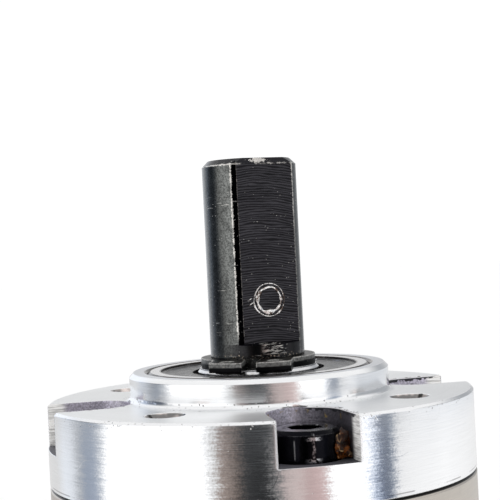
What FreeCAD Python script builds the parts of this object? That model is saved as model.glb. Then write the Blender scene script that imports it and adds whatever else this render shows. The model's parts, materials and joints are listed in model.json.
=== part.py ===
import FreeCAD, Part
import math
import os

# Two-stage planetary gearbox, 36 mm class, for the front of a small DC motor.
# Origin: centre of the output flange's front face. +Z runs out along the output shaft.
# The four screw pockets lie on the X and Y axes. All sizes are in millimetres and degrees.

os.makedirs("parts", exist_ok=True)
Vec = FreeCAD.Vector
Z_AXIS = Vec(0, 0, 1)

# Envelope
BODY_R = 18.0
FLANGE_FRONT = 0.0
FLANGE_REAR = -6.7
HOUSING_REAR = -26.7
PLATE_REAR = -30.7
SPIGOT_R = 12.0
SPIGOT_BORE_R = 12.02
EDGE_BREAK = 0.2

# Output flange
BOSS_R = 11.0
BOSS_TOP = 2.3
BOSS_CHAMFER = 0.35
BOSS_FILLET = 0.5
FRONT_SPIGOT_REAR = -10.5
SHOULDER_FRONT = -3.7
SHOULDER_REAR = -4.5
SHOULDER_R = 8.25
SCREW_PITCH_R = 14.0
POCKET_WIDTH = 5.8
POCKET_FLARE = 3.4
POCKET_FLOOR = -3.5
SCREW_SEAT = -4.15
POCKET_EDGE_BREAK = 0.05
FACE_HOLE_PITCH_R = 14.0
FACE_HOLE_R = 1.25
FACE_HOLE_DEPTH = 6.0
FACE_HOLE_SINK_R = 1.62

# Casing screws: M3 x 8 socket cap in the flange, M3 x 8 countersunk in the motor plate
SCREW_R = 1.5
SCREW_CLEARANCE_R = 1.7
SCREW_THREAD_BORE_R = 1.52
SCREW_LENGTH = 8.0
SCREW_HEAD_R = 2.75
SCREW_HEAD_HEIGHT = 3.0
SCREW_END_BREAK = 0.3
HEX_ACROSS_FLATS = 2.5
HEX_DEPTH = 1.5
TAPPED_DEPTH = 7.0
SUNK_HEAD_R = 2.8
SUNK_HEAD_RIM = 0.2
SUNK_HEX_ACROSS_FLATS = 2.0
SUNK_HEX_DEPTH = 1.1
PLATE_SCREW_START = 45.0

# Ball bearings, 8 x 19 x 6, shielded on both sides
BEARING_BORE_R = 4.01
BEARING_OUTER_R = 9.5
BEARING_WIDTH = 6.0
BEARING_SEAT_R = 9.51
INNER_SHOULDER_R = 5.5
INNER_FACE_R = 5.15
INNER_FACE_STEP = 0.7
OUTER_SHOULDER_R = 8.0
SHIELD_SEAT_R = 8.32
SHIELD_SEAT_DEPTH = 0.55
SHIELD_OUTER_R = 8.3
SHIELD_INNER_R = 5.62
SHIELD_THICKNESS = 0.25
SHIELD_RECESS = 0.25
BALL_R = 1.5875
BALL_PITCH_R = 6.75
BALL_COUNT = 7
RACE_R = 1.64
CAGE_INNER_R = 6.25
CAGE_OUTER_R = 7.25
CAGE_HALF_WIDTH = 1.95
CAGE_POCKET_R = 1.62

# Output shaft
SHAFT_R = 4.0
SHAFT_TIP = 19.85
SHAFT_TIP_CHAMFER = 0.5
FLAT_DISTANCE = 3.0
FLAT_BOTTOM = 4.4
FLAT_AZIMUTH = 9.5
BEVEL_INNER = -2.40
BEVEL_ANGLE = 45.3
GROOVE_R = 3.8
GROOVE_LOW = 2.4
GROOVE_HIGH = 3.3

# Retaining ring, shim washer and spacer on the shaft
CLIP_LOW = 2.42
CLIP_THICKNESS = 0.8
CLIP_OUTER_R = 4.85
CLIP_OFFSET = 0.15
CLIP_AZIMUTH = -20.0
CLIP_GAP = 1.2
CLIP_LUG_WIDTH = 2.75
CLIP_LUG_R = 6.9
CLIP_EYE_R = 0.6
CLIP_EYE_PITCH_R = 5.8
SHIM_R = 4.95
SPACER_R = 4.9

# Gears, module 0.5, pressure angle 20 degrees, stub teeth
MODULE = 0.5
PRESSURE_ANGLE = 20.0
SUN_TEETH = 15
PLANET_TEETH = 15
RING_TEETH = 45
ADDENDUM = 0.40
RING_ADDENDUM = 0.35
DEDENDUM = 0.55
RING_DEDENDUM = 0.60
TOOTH_THINNING = 0.085
CENTRE_DISTANCE = MODULE * (SUN_TEETH + PLANET_TEETH) / 2
RING_TEETH_FRONT = -10.7
RING_TEETH_REAR = -24.95

CARRIER_R = 10.4

# Output (second) stage
OUTPUT_CARRIER_FRONT = -10.9
CARRIER_REAR = -13.3
OUTPUT_HUB_R = 5.2
OUTPUT_PLANET_FRONT = -13.55
OUTPUT_PLANET_REAR = -18.5
OUTPUT_PLANET_ANGLES = {"a": 90.0, "b": 210.0, "c": 330.0}
INTERMEDIATE_SUN_FRONT = -13.6

# Input (first) stage
INPUT_CARRIER_FRONT = -18.8
INPUT_CARRIER_REAR = -20.8
INPUT_CARRIER_BORE_R = 3.0
INPUT_PLANET_FRONT = -21.05
INPUT_PLANET_REAR = -24.85
INPUT_PLANET_ANGLES = {"a": 26.0, "b": 146.0, "c": 266.0}
PIN_R = 1.25
PIN_BORE_R = 1.29
PLANET_WASHER_R = 2.8
PLANET_WASHER_THICKNESS = 0.2
THRUST_WASHER_FRONT = -25.0
THRUST_WASHER_REAR = -25.4
THRUST_WASHER_R = 11.95
THRUST_WASHER_BORE_R = 5.0
PINION_FRONT = -21.1
PINION_REAR = -28.0
PINION_BORE_R = 1.5875

# Motor side
PILOT_R = 6.5
PILOT_DEPTH = 2.5
PINION_CLEARANCE_R = 5.0
MOTOR_HOLE_PITCH_R = 12.5
MOTOR_HOLE_R = 1.6
MOTOR_HOLE_ANGLES = (0.0, 180.0)
MOTOR_SINK_R = 3.1


def save(node, shape):
    shape.exportStep("parts/" + node + ".step")


def polar(radius, degrees, z=0.0):
    angle = math.radians(degrees)
    return Vec(radius * math.cos(angle), radius * math.sin(angle), z)


def front_angle(azimuth):
    """Angle from +X of a direction that is turned by azimuth from -Y towards +X."""
    return azimuth - 90.0


def cylinder(radius, z_low, z_high, centre=Vec(0, 0, 0)):
    base = Vec(centre.x, centre.y, z_low)
    return Part.makeCylinder(radius, z_high - z_low, base, Z_AXIS)


def tube(outer_r, inner_r, z_low, z_high):
    return cylinder(outer_r, z_low, z_high).cut(cylinder(inner_r, z_low, z_high))


def turned(outline):
    """Solid of revolution about Z from (radius, z) corners."""
    corners = [Vec(radius, 0, z) for radius, z in outline]
    face = Part.Face(Part.makePolygon(corners + corners[:1]))
    return face.revolve(Vec(0, 0, 0), Z_AXIS, 360)


def prism(corners, z_low, z_high):
    """Upright prism from (x, y) corners."""
    points = [Vec(x, y, z_low) for x, y in corners]
    face = Part.Face(Part.makePolygon(points + points[:1]))
    return face.extrude(Vec(0, 0, z_high - z_low))


def spun(shape, degrees):
    copy = shape.copy()
    copy.rotate(Vec(0, 0, 0), Z_AXIS, degrees)
    return copy


def around(shape, count, start=0.0):
    """Equally spaced copies of a shape about the Z axis."""
    return [spun(shape, start + 360.0 * i / count) for i in range(count)]


# Gears

def involute_angle(base_r, radius):
    """Polar angle of the involute at a radius, zero where it leaves the base circle."""
    if radius <= base_r:
        return 0.0
    roll = math.sqrt((radius / base_r) ** 2 - 1.0)
    return roll - math.atan(roll)


def tooth_half_angle(teeth, radius, thickness):
    """Half the angle that a tooth spans at a radius, for a thickness at the pitch circle."""
    pitch_r = MODULE * teeth / 2
    base_r = pitch_r * math.cos(math.radians(PRESSURE_ANGLE))
    at_pitch = thickness / (2 * pitch_r)
    return at_pitch + involute_angle(base_r, pitch_r) - involute_angle(base_r, radius)


def gear_outline(teeth, root_r, tip_r, thickness):
    """Closed wire of a spur gear whose first tooth is centred on +X."""
    middle_r = (root_r + tip_r) / 2
    pitch = 360.0 / teeth
    half = {r: math.degrees(tooth_half_angle(teeth, r, thickness)) for r in (root_r, middle_r, tip_r)}
    edges = []
    for i in range(teeth):
        centre = pitch * i
        rising = [polar(r, centre - half[r]) for r in (root_r, middle_r, tip_r)]
        falling = [polar(r, centre + half[r]) for r in (tip_r, middle_r, root_r)]
        next_root = polar(root_r, centre + pitch - half[root_r])
        edges.append(Part.Arc(*rising).toShape())
        edges.append(Part.Arc(rising[2], polar(tip_r, centre), falling[0]).toShape())
        edges.append(Part.Arc(*falling).toShape())
        edges.append(Part.Arc(falling[2], polar(root_r, centre + pitch / 2), next_root).toShape())
    return Part.Wire(edges)


def spur_gear(teeth, z_low, z_high, bore_r):
    pitch_r = MODULE * teeth / 2
    thickness = math.pi * MODULE / 2 - TOOTH_THINNING
    outline = gear_outline(teeth, pitch_r - DEDENDUM, pitch_r + ADDENDUM, thickness)
    outline.translate(Vec(0, 0, z_low))
    gear = Part.Face(outline).extrude(Vec(0, 0, z_high - z_low))
    return gear.cut(cylinder(bore_r, z_low, z_high))


def placed_planet(angle, z_low, z_high):
    """Planet gear on its pin circle, with one tooth pointing straight outwards."""
    gear = spun(spur_gear(PLANET_TEETH, z_low, z_high, PIN_BORE_R), angle)
    gear.translate(polar(CENTRE_DISTANCE, angle))
    return gear


def carrier_pins(angles, z_low, z_high):
    pins = [cylinder(PIN_R, z_low, z_high, polar(CENTRE_DISTANCE, angle)) for angle in angles.values()]
    return Part.makeCompound(pins)


def planet_washers(angles, carrier_rear):
    washers = []
    for angle in angles.values():
        washer = tube(PLANET_WASHER_R, PIN_BORE_R, carrier_rear - PLANET_WASHER_THICKNESS, carrier_rear)
        washer.translate(polar(CENTRE_DISTANCE, angle))
        washers.append(washer)
    return Part.makeCompound(washers)


# Bearings

def bearing_outer_ring(front):
    rear = front - BEARING_WIDTH
    edge = 0.3
    outline = [
        (OUTER_SHOULDER_R, rear + SHIELD_SEAT_DEPTH),
        (SHIELD_SEAT_R, rear + SHIELD_SEAT_DEPTH),
        (SHIELD_SEAT_R, rear),
        (BEARING_OUTER_R - edge, rear),
        (BEARING_OUTER_R, rear + edge),
        (BEARING_OUTER_R, front - edge),
        (BEARING_OUTER_R - edge, front),
        (SHIELD_SEAT_R, front),
        (SHIELD_SEAT_R, front - SHIELD_SEAT_DEPTH),
        (OUTER_SHOULDER_R, front - SHIELD_SEAT_DEPTH),
    ]
    middle = Vec(0, 0, front - BEARING_WIDTH / 2)
    return turned(outline).cut(Part.makeTorus(BALL_PITCH_R, RACE_R, middle, Z_AXIS))


def bearing_inner_ring(front):
    rear = front - BEARING_WIDTH
    edge = 0.2
    outline = [
        (BEARING_BORE_R, rear + edge),
        (BEARING_BORE_R + edge, rear),
        (INNER_FACE_R - edge, rear),
        (INNER_FACE_R, rear + edge),
        (INNER_FACE_R, rear + INNER_FACE_STEP),
        (INNER_SHOULDER_R, rear + INNER_FACE_STEP),
        (INNER_SHOULDER_R, front - INNER_FACE_STEP),
        (INNER_FACE_R, front - INNER_FACE_STEP),
        (INNER_FACE_R, front - edge),
        (INNER_FACE_R - edge, front),
        (BEARING_BORE_R + edge, front),
        (BEARING_BORE_R, front - edge),
    ]
    middle = Vec(0, 0, front - BEARING_WIDTH / 2)
    return turned(outline).cut(Part.makeTorus(BALL_PITCH_R, RACE_R, middle, Z_AXIS))


def bearing_balls(front):
    middle_z = front - BEARING_WIDTH / 2
    ball = Part.makeSphere(BALL_R, Vec(BALL_PITCH_R, 0, middle_z))
    return Part.makeCompound(around(ball, BALL_COUNT))


def bearing_cage(front):
    middle_z = front - BEARING_WIDTH / 2
    band = tube(CAGE_OUTER_R, CAGE_INNER_R, middle_z - CAGE_HALF_WIDTH, middle_z + CAGE_HALF_WIDTH)
    pocket = Part.makeCylinder(CAGE_POCKET_R, CAGE_INNER_R, Vec(CAGE_INNER_R / 2, 0, middle_z), Vec(1, 0, 0))
    return band.cut(around(pocket, BALL_COUNT))


def bearing_shields(front):
    """Two pressed sheet rings, each with a shallow dish between its rim and its bore."""
    outline = [
        (SHIELD_INNER_R, -SHIELD_RECESS),
        (SHIELD_INNER_R, -SHIELD_RECESS - SHIELD_THICKNESS),
        (SHIELD_OUTER_R, -SHIELD_RECESS - SHIELD_THICKNESS),
        (SHIELD_OUTER_R, -SHIELD_RECESS + 0.1),
        (SHIELD_OUTER_R - 0.35, -SHIELD_RECESS + 0.1),
        (SHIELD_OUTER_R - 0.5, -SHIELD_RECESS),
    ]
    shield = turned(outline)
    front_shield = shield.copy()
    front_shield.translate(Vec(0, 0, front))
    rear_shield = shield.copy()
    rear_shield.rotate(Vec(0, 0, 0), Vec(1, 0, 0), 180)
    rear_shield.translate(Vec(0, 0, front - BEARING_WIDTH))
    return Part.makeCompound([front_shield, rear_shield])


def save_bearing(name, front):
    save(name + "_outer_ring", bearing_outer_ring(front))
    save(name + "_inner_ring", bearing_inner_ring(front))
    save(name + "_balls", bearing_balls(front))
    save(name + "_cage", bearing_cage(front))
    save(name + "_shields", bearing_shields(front))


# Casing

def boss_fillet():
    """Quarter-round between the boss and the flange's face."""
    outer_r = BOSS_R + BOSS_FILLET
    collar = tube(outer_r, BOSS_R - 1.0, FLANGE_FRONT - 0.5, FLANGE_FRONT + BOSS_FILLET)
    return collar.cut(Part.makeTorus(outer_r, BOSS_FILLET, Vec(0, 0, BOSS_FILLET), Z_AXIS))


def flange_blank():
    outline = [
        (0, FRONT_SPIGOT_REAR),
        (SPIGOT_R - EDGE_BREAK, FRONT_SPIGOT_REAR),
        (SPIGOT_R, FRONT_SPIGOT_REAR + EDGE_BREAK),
        (SPIGOT_R, FLANGE_REAR),
        (BODY_R - EDGE_BREAK, FLANGE_REAR),
        (BODY_R, FLANGE_REAR + EDGE_BREAK),
        (BODY_R, FLANGE_FRONT - EDGE_BREAK),
        (BODY_R - EDGE_BREAK, FLANGE_FRONT),
        (BOSS_R, FLANGE_FRONT),
        (BOSS_R, BOSS_TOP - BOSS_CHAMFER),
        (BOSS_R - BOSS_CHAMFER, BOSS_TOP),
        (0, BOSS_TOP),
    ]
    return turned(outline).fuse(boss_fillet()).removeSplitter()


def way_out(half, level):
    """Corners of a pocket's way out through the rim, with sides tangent to its round end."""
    slope = math.radians(POCKET_FLARE)
    near = SCREW_PITCH_R - half * math.sin(slope)
    near_half = half * math.cos(slope)
    run = 6.0
    far_half = half / math.cos(slope) + run * math.tan(slope)
    corners = [(near, -near_half), (SCREW_PITCH_R + run, -far_half)]
    corners += [(x, -y) for x, y in reversed(corners)]
    return [Vec(x, y, level) for x, y in corners]


def flat_face(corners):
    return Part.Face(Part.makePolygon(corners + corners[:1]))


def screw_pocket():
    """Pocket that opens through the rim and the front face, on the +X side.

    Its sides flare a little towards the rim. Its round end goes deeper, as the seat of the screw's head."""
    half = POCKET_WIDTH / 2
    round_end = cylinder(half, SCREW_SEAT, 1.0, Vec(SCREW_PITCH_R, 0, 0))
    channel = flat_face(way_out(half, POCKET_FLOOR)).extrude(Vec(0, 0, 1.0 - POCKET_FLOOR))
    return round_end.fuse(channel).removeSplitter()


def pocket_edge_break():
    """Thin layer with sloping sides that bevels the pocket's upper edge."""
    half = POCKET_WIDTH / 2
    depth = POCKET_EDGE_BREAK
    centre = Vec(SCREW_PITCH_R, 0, -depth)
    round_end = Part.makeCone(half, half + 2 * depth, 2 * depth, centre, Z_AXIS)
    lower = way_out(half, -depth)
    upper = way_out(half + 2 * depth, depth)
    faces = [flat_face(lower), flat_face(upper)]
    for index in range(4):
        following = (index + 1) % 4
        faces.append(flat_face([lower[index], lower[following], upper[following], upper[index]]))
    return round_end.fuse(Part.Solid(Part.Shell(faces)))


def face_hole():
    blind = cylinder(FACE_HOLE_R, -FACE_HOLE_DEPTH, 1.0)
    drill_tip = Part.makeCone(0.01, FACE_HOLE_R, 0.5, Vec(0, 0, -FACE_HOLE_DEPTH - 0.5), Z_AXIS)
    depth = FACE_HOLE_SINK_R - FACE_HOLE_R
    sink = Part.makeCone(FACE_HOLE_R, FACE_HOLE_SINK_R, depth, Vec(0, 0, -depth), Z_AXIS)
    hole = blind.fuse([drill_tip, sink])
    hole.translate(Vec(FACE_HOLE_PITCH_R, 0, 0))
    return hole


def bearing_bores():
    """Front and rear bearing seats with the shoulder between them."""
    mouth = Part.makeCone(BEARING_SEAT_R, BEARING_SEAT_R + 0.2, 0.2, Vec(0, 0, BOSS_TOP - 0.2), Z_AXIS)
    front_seat = cylinder(BEARING_SEAT_R, SHOULDER_FRONT, BOSS_TOP)
    shoulder = cylinder(SHOULDER_R, SHOULDER_REAR, SHOULDER_FRONT)
    rear_seat = cylinder(BEARING_SEAT_R, FRONT_SPIGOT_REAR, SHOULDER_REAR)
    return front_seat.fuse([mouth, shoulder, rear_seat])


def output_flange():
    pocket = screw_pocket().fuse(pocket_edge_break())
    screw_hole = cylinder(SCREW_CLEARANCE_R, FRONT_SPIGOT_REAR, 0, Vec(SCREW_PITCH_R, 0, 0))
    cuts = around(pocket, 4) + around(screw_hole, 4) + around(face_hole(), 4, 45.0)
    return flange_blank().cut([bearing_bores()] + cuts)


def ring_gear_housing():
    outline = [
        (0, HOUSING_REAR),
        (BODY_R - EDGE_BREAK, HOUSING_REAR),
        (BODY_R, HOUSING_REAR + EDGE_BREAK),
        (BODY_R, FLANGE_REAR - EDGE_BREAK),
        (BODY_R - EDGE_BREAK, FLANGE_REAR),
        (0, FLANGE_REAR),
    ]
    pitch_r = MODULE * RING_TEETH / 2
    space_width = math.pi * MODULE / 2
    spaces = gear_outline(RING_TEETH, pitch_r - RING_ADDENDUM, pitch_r + RING_DEDENDUM, space_width)
    spaces.rotate(Vec(0, 0, 0), Z_AXIS, OUTPUT_PLANET_ANGLES["a"])
    spaces.translate(Vec(0, 0, HOUSING_REAR))
    toothed_bore = Part.Face(spaces).extrude(Vec(0, 0, FLANGE_REAR - HOUSING_REAR))
    front_seat = cylinder(SPIGOT_BORE_R, RING_TEETH_FRONT, FLANGE_REAR)
    rear_seat = cylinder(SPIGOT_BORE_R, HOUSING_REAR, RING_TEETH_REAR)
    centre = Vec(SCREW_PITCH_R, 0, 0)
    front_thread = cylinder(SCREW_THREAD_BORE_R, FLANGE_REAR - TAPPED_DEPTH, FLANGE_REAR, centre)
    rear_thread = cylinder(SCREW_THREAD_BORE_R, HOUSING_REAR, HOUSING_REAR + TAPPED_DEPTH, centre)
    threads = around(front_thread, 4) + around(rear_thread, 4, PLATE_SCREW_START)
    return turned(outline).cut([toothed_bore, front_seat, rear_seat] + threads)


def motor_screw_hole(angle):
    """Clearance hole with a countersink, open upwards through the spigot."""
    centre = polar(MOTOR_HOLE_PITCH_R, angle)
    shank = cylinder(MOTOR_HOLE_R, PLATE_REAR, HOUSING_REAR, centre)
    depth = MOTOR_SINK_R - MOTOR_HOLE_R
    sink_base = Vec(centre.x, centre.y, HOUSING_REAR - depth)
    sink = Part.makeCone(MOTOR_HOLE_R, MOTOR_SINK_R, depth, sink_base, Z_AXIS)
    head_room = cylinder(MOTOR_SINK_R, HOUSING_REAR, THRUST_WASHER_REAR, centre)
    return shank.fuse([sink, head_room])


def plate_screw_hole():
    """Countersunk clearance hole whose cone opens at the plate's rear face."""
    depth = SUNK_HEAD_R - SCREW_CLEARANCE_R
    rim = cylinder(SUNK_HEAD_R + 0.1, PLATE_REAR, PLATE_REAR + SUNK_HEAD_RIM)
    cone_base = Vec(0, 0, PLATE_REAR + SUNK_HEAD_RIM)
    cone = Part.makeCone(SUNK_HEAD_R + 0.1, SCREW_CLEARANCE_R + 0.1, depth, cone_base, Z_AXIS)
    shank = cylinder(SCREW_CLEARANCE_R, PLATE_REAR, HOUSING_REAR)
    hole = shank.fuse([rim, cone])
    hole.translate(Vec(SCREW_PITCH_R, 0, 0))
    return hole


def motor_plate():
    outline = [
        (0, PLATE_REAR),
        (BODY_R - EDGE_BREAK, PLATE_REAR),
        (BODY_R, PLATE_REAR + EDGE_BREAK),
        (BODY_R, HOUSING_REAR - EDGE_BREAK),
        (BODY_R - EDGE_BREAK, HOUSING_REAR),
        (SPIGOT_R, HOUSING_REAR),
        (SPIGOT_R, THRUST_WASHER_REAR),
        (0, THRUST_WASHER_REAR),
    ]
    pilot = cylinder(PILOT_R, PLATE_REAR, PLATE_REAR + PILOT_DEPTH)
    pinion_way = cylinder(PINION_CLEARANCE_R, PLATE_REAR, THRUST_WASHER_REAR)
    sunk_holes = around(plate_screw_hole(), 4, PLATE_SCREW_START)
    motor_holes = [motor_screw_hole(angle) for angle in MOTOR_HOLE_ANGLES]
    return turned(outline).cut([pilot, pinion_way] + sunk_holes + motor_holes)


def hex_socket(across_flats, z_low, z_high):
    corner_r = across_flats / math.sqrt(3)
    corners = [polar(corner_r, 60.0 * i) for i in range(6)]
    return prism([(p.x, p.y) for p in corners], z_low, z_high)


def cap_screw():
    """Socket-cap screw, head up, with its seat on the pocket's round end."""
    top = SCREW_SEAT + SCREW_HEAD_HEIGHT
    tip = SCREW_SEAT - SCREW_LENGTH
    outline = [
        (0, tip),
        (SCREW_R - SCREW_END_BREAK, tip),
        (SCREW_R, tip + SCREW_END_BREAK),
        (SCREW_R, SCREW_SEAT),
        (SCREW_HEAD_R, SCREW_SEAT),
        (SCREW_HEAD_R, top - SCREW_END_BREAK),
        (SCREW_HEAD_R - SCREW_END_BREAK, top),
        (0, top),
    ]
    screw = turned(outline).cut(hex_socket(HEX_ACROSS_FLATS, top - HEX_DEPTH, top))
    screw.translate(Vec(SCREW_PITCH_R, 0, 0))
    return screw


def plate_screw():
    """Countersunk screw, head down, flush with the plate's rear face."""
    tip = PLATE_REAR + SCREW_LENGTH
    cone_top = PLATE_REAR + SUNK_HEAD_RIM + SUNK_HEAD_R - SCREW_R
    outline = [
        (0, PLATE_REAR),
        (SUNK_HEAD_R, PLATE_REAR),
        (SUNK_HEAD_R, PLATE_REAR + SUNK_HEAD_RIM),
        (SCREW_R, cone_top),
        (SCREW_R, tip - SCREW_END_BREAK),
        (SCREW_R - SCREW_END_BREAK, tip),
        (0, tip),
    ]
    socket = hex_socket(SUNK_HEX_ACROSS_FLATS, PLATE_REAR, PLATE_REAR + SUNK_HEX_DEPTH)
    screw = turned(outline).cut(socket)
    screw.translate(Vec(SCREW_PITCH_R, 0, 0))
    return screw


# Output shaft and what sits on it

def shaft_flat():
    """Everything outside the flat and its bevelled edge, facing +X."""
    reach = 2 * SHAFT_R
    slab = [(FLAT_DISTANCE, -reach), (reach, -reach), (reach, reach), (FLAT_DISTANCE, reach)]
    edge = polar(SHAFT_R, -BEVEL_ANGLE)
    bevel = [(FLAT_DISTANCE, BEVEL_INNER), (edge.x, edge.y), (reach, -reach), (reach, BEVEL_INNER)]
    cut = prism(slab, FLAT_BOTTOM, SHAFT_TIP)
    return cut.fuse(prism(bevel, FLAT_BOTTOM, SHAFT_TIP))


def output_shaft():
    outline = [
        (0, CARRIER_REAR),
        (SHAFT_R, CARRIER_REAR),
        (SHAFT_R, GROOVE_LOW),
        (GROOVE_R, GROOVE_LOW),
        (GROOVE_R, GROOVE_HIGH),
        (SHAFT_R, GROOVE_HIGH),
        (SHAFT_R, FLAT_BOTTOM),
        (SHAFT_R, SHAFT_TIP - SHAFT_TIP_CHAMFER),
        (SHAFT_R - SHAFT_TIP_CHAMFER, SHAFT_TIP),
        (0, SHAFT_TIP),
    ]
    return turned(outline).cut(spun(shaft_flat(), front_angle(FLAT_AZIMUTH)))


def retaining_ring():
    """External circlip: a tapering band with two eyed lugs, its gap facing +X before turning."""
    high = CLIP_LOW + CLIP_THICKNESS
    band = cylinder(CLIP_OUTER_R, CLIP_LOW, high, Vec(-CLIP_OFFSET, 0, 0))
    lug_half = CLIP_GAP / 2 + CLIP_LUG_WIDTH
    lugs = Part.makeBox(CLIP_LUG_R, 2 * lug_half, CLIP_THICKNESS, Vec(0, -lug_half, CLIP_LOW))
    lugs = lugs.common(cylinder(CLIP_LUG_R, CLIP_LOW, high))
    gap = Part.makeBox(CLIP_LUG_R, CLIP_GAP, CLIP_THICKNESS, Vec(0, -CLIP_GAP / 2, CLIP_LOW))
    cuts = [cylinder(GROOVE_R + 0.02, CLIP_LOW, high), gap]
    for side in (-1, 1):
        eye_y = side * (CLIP_GAP + CLIP_LUG_WIDTH) / 2
        eye_x = math.sqrt(CLIP_EYE_PITCH_R ** 2 - eye_y ** 2)
        cuts.append(cylinder(CLIP_EYE_R, CLIP_LOW, high, Vec(eye_x, eye_y, 0)))
    ring = band.fuse(lugs).removeSplitter().cut(cuts)
    return spun(ring, front_angle(CLIP_AZIMUTH))


def output_carrier():
    disc = tube(CARRIER_R, SHAFT_R + 0.01, CARRIER_REAR, OUTPUT_CARRIER_FRONT)
    hub = tube(OUTPUT_HUB_R, SHAFT_R + 0.01, OUTPUT_CARRIER_FRONT, FRONT_SPIGOT_REAR)
    pin_hole = cylinder(PIN_R + 0.01, CARRIER_REAR, OUTPUT_CARRIER_FRONT, Vec(CENTRE_DISTANCE, 0, 0))
    return disc.fuse(hub).cut(around(pin_hole, 3, OUTPUT_PLANET_ANGLES["a"]))


def input_carrier():
    disc = tube(CARRIER_R, INPUT_CARRIER_BORE_R + 0.01, INPUT_CARRIER_REAR, INPUT_CARRIER_FRONT)
    pin_hole = cylinder(PIN_R + 0.01, INPUT_CARRIER_REAR, INPUT_CARRIER_FRONT, Vec(CENTRE_DISTANCE, 0, 0))
    return disc.cut(around(pin_hole, 3, INPUT_PLANET_ANGLES["a"]))


def sun_gear(angles, z_low, z_high, bore_r):
    """Sun gear turned so that a tooth points at each planet."""
    return spun(spur_gear(SUN_TEETH, z_low, z_high, bore_r), angles["a"])


def intermediate_sun_gear():
    teeth = sun_gear(OUTPUT_PLANET_ANGLES, INPUT_CARRIER_FRONT, INTERMEDIATE_SUN_FRONT, 1.0)
    stub = tube(INPUT_CARRIER_BORE_R, 1.0, INPUT_CARRIER_REAR, INPUT_CARRIER_FRONT)
    return teeth.fuse(stub)


def save_planets(stage, angles, z_low, z_high):
    for letter, angle in angles.items():
        save(stage + "_planet_gear_" + letter, placed_planet(angle, z_low, z_high))


save("output_flange", output_flange())
save("ring_gear_housing", ring_gear_housing())
save("motor_plate", motor_plate())
save("flange_screws", Part.makeCompound(around(cap_screw(), 4)))
save("motor_plate_screws", Part.makeCompound(around(plate_screw(), 4, PLATE_SCREW_START)))
save_bearing("front_bearing", BOSS_TOP)
save_bearing("rear_bearing", SHOULDER_REAR)
save("bearing_spacer", tube(SPACER_R, BEARING_BORE_R, SHOULDER_REAR, SHOULDER_FRONT))
save("shim_washer", tube(SHIM_R, BEARING_BORE_R, BOSS_TOP, GROOVE_LOW))
save("retaining_ring", retaining_ring())
save("output_shaft", output_shaft())
save("output_carrier", output_carrier())
save("output_carrier_pins", carrier_pins(OUTPUT_PLANET_ANGLES, OUTPUT_PLANET_REAR, OUTPUT_CARRIER_FRONT))
save("output_planet_washers", planet_washers(OUTPUT_PLANET_ANGLES, CARRIER_REAR))
save_planets("output", OUTPUT_PLANET_ANGLES, OUTPUT_PLANET_REAR, OUTPUT_PLANET_FRONT)
save("intermediate_sun_gear", intermediate_sun_gear())
save("input_carrier", input_carrier())
save("input_carrier_pins", carrier_pins(INPUT_PLANET_ANGLES, INPUT_PLANET_REAR, INPUT_CARRIER_FRONT))
save("input_planet_washers", planet_washers(INPUT_PLANET_ANGLES, INPUT_CARRIER_REAR))
save_planets("input", INPUT_PLANET_ANGLES, INPUT_PLANET_REAR, INPUT_PLANET_FRONT)
save("input_pinion", sun_gear(INPUT_PLANET_ANGLES, PINION_REAR, PINION_FRONT, PINION_BORE_R))
rear_thrust_washer = tube(THRUST_WASHER_R, THRUST_WASHER_BORE_R, THRUST_WASHER_REAR, THRUST_WASHER_FRONT)
save("rear_thrust_washer", rear_thrust_washer)
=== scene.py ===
import json
from math import cos, pi, radians, sin

import bmesh
import bpy
from mathutils import Matrix, Vector, noise


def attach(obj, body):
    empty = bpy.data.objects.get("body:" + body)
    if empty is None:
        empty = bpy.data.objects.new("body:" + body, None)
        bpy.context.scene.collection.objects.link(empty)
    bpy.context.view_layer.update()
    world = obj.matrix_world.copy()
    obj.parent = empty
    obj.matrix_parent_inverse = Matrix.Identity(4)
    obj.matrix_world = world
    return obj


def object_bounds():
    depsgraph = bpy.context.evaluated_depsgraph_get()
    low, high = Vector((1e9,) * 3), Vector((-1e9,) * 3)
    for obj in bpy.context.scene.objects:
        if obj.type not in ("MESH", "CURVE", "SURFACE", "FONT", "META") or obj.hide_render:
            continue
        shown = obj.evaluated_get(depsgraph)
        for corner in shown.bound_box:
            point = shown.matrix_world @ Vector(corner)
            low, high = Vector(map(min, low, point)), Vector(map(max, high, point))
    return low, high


# Looks of the planetary gearbox: materials, three small pieces, studio and camera.
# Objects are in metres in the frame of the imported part: the origin is in the middle of the
# flange's front face and +Z runs out along the shaft. Materials and small pieces are drawn in
# millimetres.

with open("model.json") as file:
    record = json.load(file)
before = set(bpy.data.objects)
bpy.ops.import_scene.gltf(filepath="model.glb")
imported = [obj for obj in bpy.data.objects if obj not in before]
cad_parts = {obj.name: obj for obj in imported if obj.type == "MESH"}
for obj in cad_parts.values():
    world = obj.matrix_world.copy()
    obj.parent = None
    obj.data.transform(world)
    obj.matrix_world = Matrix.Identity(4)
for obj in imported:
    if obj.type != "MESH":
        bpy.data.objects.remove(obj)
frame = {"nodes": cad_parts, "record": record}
CAD_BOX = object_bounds()

MM = 0.001                      # metres in a millimetre
VIEW_AZIMUTH = 13.478           # degrees from the -Y axis to the camera, towards -X

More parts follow.
